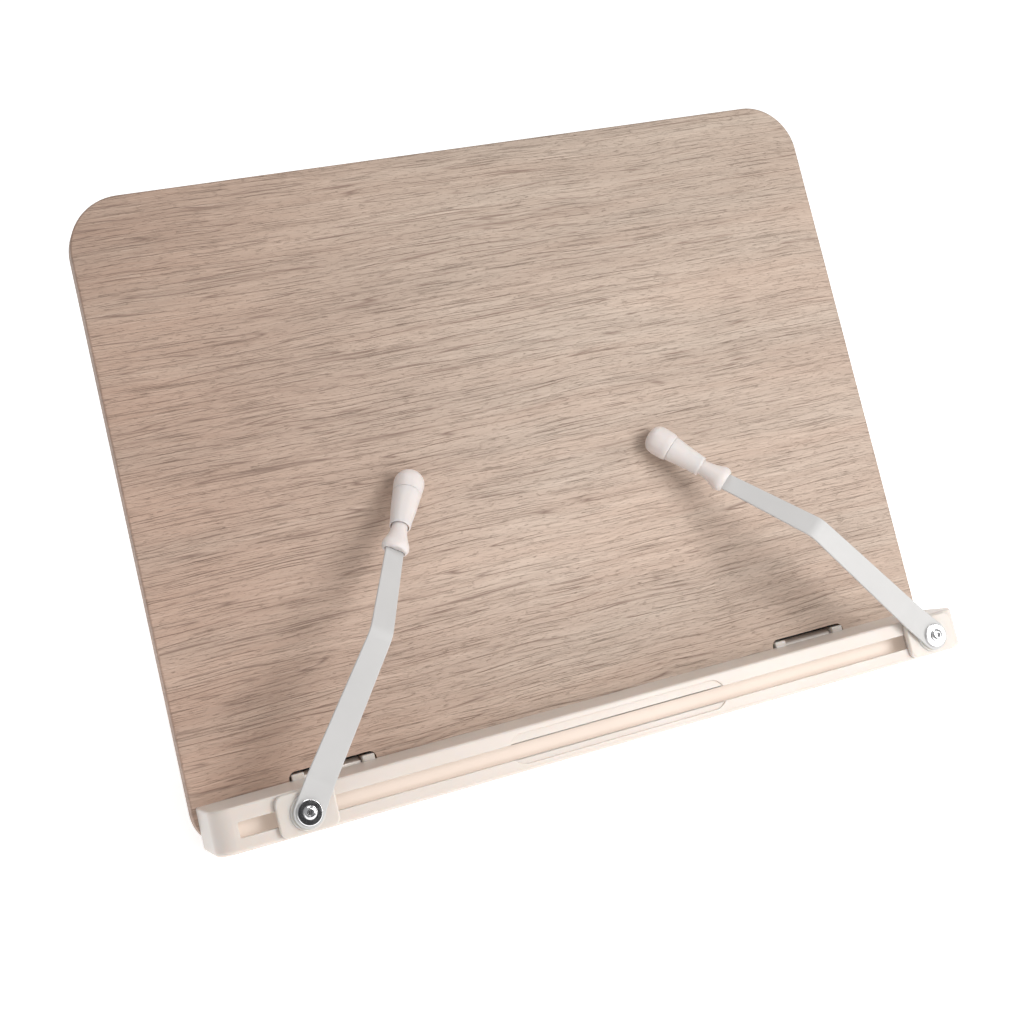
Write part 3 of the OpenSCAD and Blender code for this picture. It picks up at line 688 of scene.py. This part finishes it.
def ledge():
    """Hollow ledge with its slot, channel, shallow recess, hinge lugs and screw posts."""
    body = extruded("ledge_body", ledge_plan(), LEDGE_LOW, 0.0, axes="xzy")
    bevel_where(body, 1.0, 4, lambda p: p.z > 0.5 and p.y > -1)
    bevel_where(body, 1.8, 5, lambda p: p.z > 0.5 and p.y < LEDGE_LOW + 0.5)
    w = LEDGE_HALF - WALL
    hollow = [(-w, WALL), (w, WALL), (w, HOLLOW_D), (-w, HOLLOW_D)]
    cut(body, extruded("hollow", hollow, LEDGE_LOW - 5, -WALL, axes="xzy"))
    x = SLOT_HALF + CHANNEL_END
    cut(body, box_solid("channel", (-x, CHANNEL_LOW, CHANNEL[0]), (x, -WALL, CHANNEL[1])))
    low, high = SLOT_U - SLOT_HALF_H, SLOT_U + SLOT_HALF_H
    slot = round_rect(-SLOT_HALF, low, SLOT_HALF, high, 0.8, 4)
    cut(body, extruded("slot", slot, CHANNEL[0] + 2, LEDGE_D + 3))
    recess = arc(RECESS_HALF, RECESS_U, RECESS_R, -90, 90, 14)
    recess += arc(-RECESS_HALF, RECESS_U, RECESS_R, 90, 270, 14)
    cut(body, extruded("recess", recess, LEDGE_D - RECESS_D, LEDGE_D + 3))
    for side in (-1, 1):
        start = (side * HINGE_X - RELIEF_LEN / 2, -HINGE_BELOW_SHELF, -BOARD_T / 2)
        place = BOARD @ Matrix.Translation(start) @ Matrix.Rotation(math.pi / 2, 4, "Y")
        cut(body, lathed("relief", [(0, RELIEF_R), (RELIEF_LEN, RELIEF_R)], place))
    weld(body.data, flat=0.3)
    bevel_where(
        body, 0.35, 2,
        lambda p: p.z > LEDGE_D - 1.2 and abs(p.x) < SLOT_HALF + 1 and -15.5 < p.y < -2,
    )
    parts = [body]
    for side in (-1, 1):
        for end in (-1, 1):
            parts.append(hinge_lug(side * HINGE_X + end * (NOTCH_HALF - NOTCH_GAP - LUG_HALF)))
    for x in POSTS_X:
        parts.append(box_solid("post", (x - 5, LEDGE_LOW + 2.0, 1), (x + 5, -1, 14)))
    rail = finish(gather("ledge_rail_finished", parts), IVORY, "ledge_rail")
    # the channel's walls take the lighter, glowing copy: painted light where the channel lies in shade
    rail.data.materials.append(IVORY_INNER_LIT)
    for face in rail.data.polygons:
        if in_channel(TO_BOARD @ face.center):
            face.material_index = 1
    refined("ledge_cover", 0.4)


# ---------- page holders ----------
# run: screw to bend; lean and drop: the strip's two slopes; reach: tip origin to the cap's dome.
# The two tips differ a little in the photo: bulge swells the sleeve, flat gives the cap a flat end.
HOLDERS = {
    "left": dict(run=73.6, lean=12.1, drop=-36.5, reach=36.8, bulge=0.32, flat=0.0),
    "right": dict(run=76.4, lean=6.1, drop=-34.1, reach=34.2, bulge=0.0, flat=1.0),
}
END_R, FLAT_RUN, ARM_UPPER, STRIP_T = 6.2, 12.5, 45.1, 1.2
BEND_REACH = 4.5
COLLAR_LEN, CAP_BACK, CAP_R = 13.0, 5.4, 6.6
BORE_R, NECK_R, SPINDLE_R = 2.5, 3.4, 2.4
HOLE_R = 2.1
SOCKET_R, SOCKET_TURN = 1.22, 12


def holder_frames(side):
    """Frames of the slider, the arm and the tip of one page holder."""
    pivot = TO_BOARD @ Vector(JOINTS["arm_%s_swing" % side]["pos_m"])
    slider = BOARD @ Matrix.Translation((pivot.x, pivot.y, 0))
    spin = JOINTS["tip_%s_spin" % side]
    along = (BOARD.to_3x3().inverted() @ Vector(spin["axis"])).normalized()
    arm = slider @ Matrix.Rotation(-math.atan2(along.x, along.y), 4, "Z")
    tip_at = arm.inverted() @ Vector(spin["pos_m"])
    tip = arm @ Matrix.Translation((0, tip_at.y, tip_at.z))
    tip = tip @ Matrix.Rotation(math.asin(along.z), 4, "X")
    return slider, arm, tip, pivot.z


def slider(side, frame_at):
    """Block with a round boss in front of the ledge and a key in the slot; nut and wave washer."""
    outline = round_rect(-12, -8.0, 12, 8.6, 3.5, 8)
    plate = extruded("plate", outline, LEDGE_D + 0.3, LEDGE_D + 2.7, frame_at)
    bevel_where(plate, 0.8, 4, lambda p: p.z > LEDGE_D + 2.0)
    top = LEDGE_D + 3.7
    profile = [
        (top - 1.6, 7.1), (top - 0.9, 7.1), (top, 6.9), (top, 4.4), (top - 0.6, 4.4),
        (top - 0.6, 2.2),
    ]
    boss = lathed("boss", rounded(profile, 0.35), frame_at)
    key = box_solid("key", (-6, -2.75, LEDGE_D - 2.9), (6, 2.75, LEDGE_D + 0.4), frame_at)
    block = gather("slider_block_%s_finished" % side, [plate, boss, key])
    finish(block, IVORY, "slider_block_" + side)
    refined("slider_nut_" + side, 0.3)
    refined("wave_washer_" + side, 0.1)


def fastener(side, frame_at):
    """Flat washer with rounded rims, and the pivot screw with its hexagon socket."""
    low, high = board_box("flat_washer_" + side)
    n0, n1, r = low.z, high.z, (high.x - low.x) / 2
    profile = [
        (n0, 2.05), (n0, r - 0.1), (n0 + 0.1, r), (n1 - 0.3, r), (n1, r - 0.3), (n1, 2.3),
        (n1 - 0.2, 2.05), (n0, 2.05),
    ]
    rim = rounded(profile, 0.14, 6)
    turned = lathed("flat_washer_%s_finished" % side, rim, frame_at, steps=128)
    finish(turned, WASHER, "flat_washer_" + side)
    s0, s1 = board_box("pivot_screw_" + side)
    top = s1.z
    head = [
        (s0.z, 1.7), (s0.z + 0.3, 2.0), (n1 - 0.01, 2.0), (n1, 2.0), (n1, 2.6),
        (n1 + 0.08, 2.7), (n1 + 0.55, 2.7), (n1 + 0.95, 2.55), (top - 0.22, 2.15),
        (top - 0.04, 1.6), (top, 1.3),
    ]
    screw = lathed("pivot_screw_%s_finished" % side, rounded(head, 0.12), frame_at, steps=64)
    angles = [math.radians(60 * i + SOCKET_TURN) for i in range(6)]
    hexagon = [(SOCKET_R * math.cos(a), SOCKET_R * math.sin(a)) for a in angles]
    cut(screw, extruded("socket", hexagon, top - 1.1, top + 1, frame_at))
    bevel(screw, 0.08, 2, angle=50)
    finish(screw, SCREW, "pivot_screw_" + side)


def bent_path(side, top_n):
    """Corners of the spring strip's centre line, as (along, n)."""
    h = HOLDERS[side]
    lean, drop = math.radians(h["lean"]), math.radians(h["drop"])
    reach = h["run"] - FLAT_RUN
    a = Vector((FLAT_RUN, top_n))
    b = a + reach * Vector((math.cos(lean), math.sin(lean)))
    c = b + ARM_UPPER * Vector((math.cos(drop), math.sin(drop)))
    return [Vector((-END_R, top_n)), Vector((0, top_n)), a, b, c]


def strip(side, frame_at, top_n, tip):
    """Spring-steel arm: its section carried along the bent centre line, with the screw's hole."""
    points = bent_path(side, top_n)
    inside = frame_at.inverted() @ tip @ Vector((0, 3.0, 0))
    points.append(Vector((inside.y, inside.z)))
    radii = [0, 0, 9.0, 7.0, 3.0, 0]  # of the bend at each corner
    line = []
    for i, here in enumerate(points):
        if not radii[i]:
            line.append(here)
            continue
        before = (points[i - 1] - here).normalized()
        after = (points[i + 1] - here).normalized()
        reach = min(radii[i] / math.tan(before.angle(after) / 2), BEND_REACH)
        line += corner_curve(here + before * reach, here, here + after * reach, 8)
    line = fill_gaps(line, 4.0)
    stations, walked = [], -END_R
    for i, here in enumerate(line):
        if i:
            walked += (here - line[i - 1]).length
        ahead = line[min(i + 1, len(line) - 1)] - line[max(i - 1, 0)]
        stations.append((here, ahead.normalized(), strip_half(walked, HOLDERS[side]["run"])))
    verts = []
    for here, ahead, half in stations:
        across = Vector((-ahead.y, ahead.x))
        for x, z in strip_section(half):
            p = here + across * z
            verts.append((x, p.x, p.y))
    rows = len(stations)
    count = len(verts) // rows
    faces = tube_faces(rows, count) + end_faces(rows, count)
    thing = place_mesh("arm_strip_%s_finished" % side, verts, faces, frame_at)
    cut(thing, lathed("hole", [(top_n - 2, HOLE_R), (top_n + 2, HOLE_R)], frame_at, steps=48))
    return finish(thing, ARM, "arm_strip_" + side)


def fill_gaps(line, step):
    """Adds points on long straight runs, closer together round the strip's first, round end."""
    out = [line[0]]
    for a in range(1, 16):
        out.append(Vector((-END_R * math.cos(math.radians(90 * a / 16)), line[0].y)))
    for here in line[1:]:
        gap = (here - out[-1]).length
        parts = max(1, int(gap / step))
        start = out[-1].copy()
        for k in range(1, parts + 1):
            out.append(start.lerp(here, k / parts))
    return out


def strip_half(walked, run):
    """Half width of the strip at a distance from its screw."""
    if walked < 0:
        return max(0.35, math.sqrt(max(0.0, END_R ** 2 - walked ** 2)))
    end = run + ARM_UPPER
    marks = [(0, END_R), (FLAT_RUN, 5.9), (run, 4.8), (end, 4.0), (end + 9, 4.0)]
    for (s0, w0), (s1, w1) in zip(marks, marks[1:]):
        if walked <= s1:
            return w0 + (w1 - w0) * (walked - s0) / (s1 - s0)
    return marks[-1][1]


def strip_section(half):
    """Outline across the strip, with small round edges."""
    r = min(0.4, 0.45 * half)
    x, y = half - r, STRIP_T / 2 - r
    corners = [(x, y, 0), (-x, y, 90), (-x, -y, 180), (x, -y, 270)]
    return [p for cx, cy, start in corners for p in arc(cx, cy, r, start, start + 90, 3)]


def collar(side, tip):
    """Moulded collar: an oval flare that swallows the strip, running out into a round neck."""
    flare = [
        (0.5, 3.2), (0.3, 4.6), (0.9, 5.4), (2.3, 5.9), (3.8, 5.75), (5.6, 5.0), (7.6, 4.25),
        (9.8, 3.7), (COLLAR_LEN - 1, NECK_R),
    ]
    spindle = [
        (COLLAR_LEN + 2.0, NECK_R), (COLLAR_LEN + 2.1, SPINDLE_R),
        (HOLDERS[side]["reach"] - CAP_BACK - 4.2, SPINDLE_R),
    ]

    def flatten(y):
        """Radius scales: flattened towards the board at the flare, round from the neck on."""
        t = min(1.0, max(0.0, (y - 2.0) / 8.0))
        return 1.0, 0.77 + 0.23 * (t * t * (3 - 2 * t))

    name = "arm_collar_%s_finished" % side
    thing = lathed(name, curve(flare, 5) + spindle, tip, "y", 64, flatten)
    gap = round_rect(-4.5, -0.95, 4.5, 0.95, 0.9, 5)
    mouth = extruded("mouth", gap, -2.0, 2.2, tip, axes="xzy")
    cut(thing, mouth)
    bevel_where(thing, 0.25, 2, lambda p: True)
    return finish(thing, IVORY_SOFT, "arm_collar_" + side)


def curve(points, steps):
    """Catmull-Rom curve through points."""
    pts = [Vector(p) for p in points]
    pts = [2 * pts[0] - pts[1]] + pts + [2 * pts[-1] - pts[-2]]
    out = []
    for a, b, c, d in zip(pts, pts[1:], pts[2:], pts[3:]):
        for i in range(steps):
            t = i / steps
            square, cube = 2 * a - 5 * b + 4 * c - d, 3 * b - a - 3 * c + d
            out.append(0.5 * (2 * b + (c - a) * t + square * t * t + cube * t ** 3))
    return [tuple(p) for p in out] + [tuple(pts[-2])]


def tip_parts(side, tip):
    """Sleeve that spins on the collar's spindle, and its rounded cap."""
    reach, front = HOLDERS[side]["reach"], COLLAR_LEN
    back = reach - CAP_BACK
    bulge, flat = HOLDERS[side]["bulge"], HOLDERS[side]["flat"]
    outside = curve([
        (front + 0.25, 4.42), (front + 5, 4.75 + 0.3 * bulge), (front + 10, 5.2 + 0.8 * bulge),
        (back - 1.2, 5.72 + bulge), (back - 0.3, 5.8 + bulge),
    ], 5)
    sleeve = [(front, 4.1), (front + 0.06, 4.3)] + outside
    sleeve += [(back - 0.05, 5.6 + bulge), (back - 0.02, 4.0), (back - 3, BORE_R)]
    sleeve += [(front + 3, BORE_R), (front + 3, 3.75), (front + 0.15, 3.85), (front, 4.1)]
    turned = lathed("tip_sleeve_%s_finished" % side, sleeve, tip, "y", 72)
    finish(turned, IVORY_SOFT, "tip_sleeve_" + side)
    outer = [
        (back, 5.55 + bulge), (back + 0.12, 5.85 + bulge),
        (back + 0.6, 6.05 + 0.5 * bulge + 0.15 * flat), (back + 2.2, 6.35 + 0.15 * flat),
        (back + 4.0, 6.55),
    ]
    round_end = ((0.0, CAP_R), (1.6, 6.38), (3.2, 5.72), (4.5, 4.75), (5.6, 3.4), (6.3, 1.95))
    flat_end = ((0.0, CAP_R), (1.9, 6.52), (3.7, 6.1), (5.1, 5.1), (6.0, 3.7), (6.45, 2.0))
    dome = [(reach + y, r) for y, r in (flat_end if flat else round_end)]
    profile = [(back, 4.0)] + curve(outer + dome + [(reach + CAP_R, 0.02)], 5)
    turned = lathed("tip_cap_%s_finished" % side, profile, tip, "y", 72)
    finish(turned, IVORY_SOFT, "tip_cap_" + side)


def page_holders():
    """Slider, screw, arm, collar and tip of both page holders."""
    for side in SIDES:
        slider_at, arm_at, tip, top_n = holder_frames(side)
        slider(side, slider_at)
        fastener(side, slider_at)
        strip(side, arm_at, top_n, tip)
        collar(side, tip)
        tip_parts(side, tip)


# ---------- base, prop and the rest ----------
EDGE_WIDTHS = {
    "base_rail_left": 0.8, "base_rail_right": 0.8, "front_tie": 0.5, "rear_axle": 0.5,
    "hinge_barrel_left": 0.35, "hinge_barrel_right": 0.35, "axle_end_caps": 0.8,
    "front_feet": 0.6, "rear_feet": 0.6, "prop_panel": 0.7, "prop_bushes": 0.15,
    "slide_rod": 0.3, "shoe_left": 0.3, "shoe_right": 0.3, "track_left": 0.25,
    # the hinge shields are dark plates that stand in for the shaded gap round the barrels: painted shade
    "track_right": 0.25, "hinge_shield_left": 0.3, "hinge_shield_right": 0.3,
    "track_stop_low": 0.6, "track_stop_high": 0.6, "tie_screws": 0.4, "cover_screws": 0.25,
    "track_screws": 0.1, "ledge_screws": 0.1, "hinge_pin_left": 0.2, "hinge_pin_right": 0.2,
    "friction_pads": 0.1,
}


def carried_nodes():
    """All other CAD nodes with rounded edges; the board's core, hardly seen, gets its material."""
    for node, width in EDGE_WIDTHS.items():
        refined(node, width)
    core = NODES["board_core"]
    core.data.materials.clear()
    core.data.materials.append(CORE)


# ---------- light, floor and camera ----------
WORLD_COLOUR, WORLD_STRENGTH = (0.985, 0.99, 1.0), 0.4
FLOOR_HALF, FLOOR_GLOW = 6.0, 0.62
CARD_HALF = 0.17
SENSOR_MM = 36.0


def sheet(name, half):
    """Flat square around its own origin, in metres."""
    mesh = bpy.data.meshes.new(name)
    corners = [(-half, -half, 0), (half, -half, 0), (half, half, 0), (-half, half, 0)]
    mesh.from_pydata(corners, [], [(0, 1, 2, 3)])
    thing = bpy.data.objects.new(name, mesh)
    bpy.context.scene.collection.objects.link(thing)
    return thing


def soft_light(name, place, target, size, power, colour):
    """Square area light that faces its target."""
    data = bpy.data.lights.new(name, "AREA")
    data.shape = "RECTANGLE"
    data.size = data.size_y = size
    data.energy = power
    data.color = colour
    lamp = bpy.data.objects.new(name, data)
    bpy.context.scene.collection.objects.link(lamp)
    lamp.location = place
    lamp.rotation_euler = (Vector(target) - Vector(place)).to_track_quat("-Z", "Y").to_euler()


def studio():
    """Soft key from the right, weak light from above, pale floor, and two cards for the washers."""
    world = bpy.data.worlds.new("studio")
    world.use_nodes = True
    background = world.node_tree.nodes["Background"]
    background.inputs["Color"].default_value = (*WORLD_COLOUR, 1)
    background.inputs["Strength"].default_value = WORLD_STRENGTH
    bpy.context.scene.world = world
    aim = hinge + Vector((0.02, 0.0, 0.09))
    soft_light("key", BOARD @ Vector((450, 90, 980)), aim, 0.56, 7.0, (1.0, 0.985, 0.97))
    soft_light("top", BOARD @ Vector((0, 1500, 550)), aim, 0.8, 5.8, (1.0, 0.99, 0.98))
    left, right = (Vector(JOINTS["arm_%s_swing" % side]["pos_m"]) for side in SIDES)
    card("dark_card", left + 0.62 * facing(12.9, 28.4), left, (0.012, 0.012, 0.014))
    card("white_card", right + 0.7 * facing(37.6, 23.7), right, (0.9, 0.9, 0.9), 1.0)
    floor = sheet("floor", FLOOR_HALF)
    s = Shader("floor_paper")
    tone = s.noise(s.coords((0.001, 0.001, 0.001), False), 1.0, 2.0)
    s.feed("Base Color", s.mix(tone, (0.93, 0.93, 0.93), (0.95, 0.95, 0.95)))
    s.set(Roughness=0.9, Emission_Color=(1, 1, 1, 1), Emission_Strength=FLOOR_GLOW)
    floor.data.materials.append(s.mat)


def facing(azimuth, elevation):
    """Direction from the object: azimuth from the front towards the right, and elevation."""
    a, e = math.radians(azimuth), math.radians(elevation)
    return Vector((math.sin(a) * math.cos(e), -math.cos(a) * math.cos(e), math.sin(e)))


def card(name, place, target, colour, glow=0.0):
    """A card that faces its target and that only mirrors can see."""
    thing = sheet(name, CARD_HALF)
    aim = (Vector(target) - place).to_track_quat("-Z", "Y")
    thing.matrix_world = Matrix.Translation(place) @ aim.to_matrix().to_4x4()
    s = Shader(name)
    tone = s.noise(s.coords((0.01, 0.01, 0.01), False), 1.0, 2.0)
    s.feed("Base Color", s.mix(tone, colour, tuple(1.2 * c for c in colour)))
    s.set(Roughness=1.0, Emission_Color=(1, 1, 1, 1), Emission_Strength=glow)
    thing.data.materials.append(s.mat)
    for ray in ("camera", "diffuse", "shadow", "transmission", "volume_scatter"):
        setattr(thing, "visible_" + ray, False)


def camera():
    """The photo's viewpoint, from the camera fit: angles in degrees, lens and centre in pixels."""
    azimuth, elevation, roll = 22.81, -28.40, -0.15
    place = hinge + Vector((-0.2591, -0.4897, 0.4392))
    focal_px, across, down = 1584.3, 469.1, 421.9
    frame_px = 1024
    data = bpy.data.cameras.new("camera")
    data.sensor_width = SENSOR_MM
    data.lens = SENSOR_MM * focal_px / frame_px
    data.shift_x = (frame_px / 2 - across) / frame_px
    data.shift_y = (down - frame_px / 2) / frame_px
    data.clip_start = 0.01
    view = bpy.data.objects.new("camera", data)
    bpy.context.scene.collection.objects.link(view)
    turn = (
        Matrix.Rotation(-math.radians(azimuth), 4, "Z")
        @ Matrix.Rotation(math.radians(90 + elevation), 4, "X")
        @ Matrix.Rotation(math.radians(roll), 4, "Z")
    )
    view.matrix_world = Matrix.Translation(place) @ turn
    bpy.context.scene.camera = view


board()
ledge()
page_holders()
carried_nodes()
studio()
camera()
bpy.context.scene.view_settings.view_transform = "Standard"
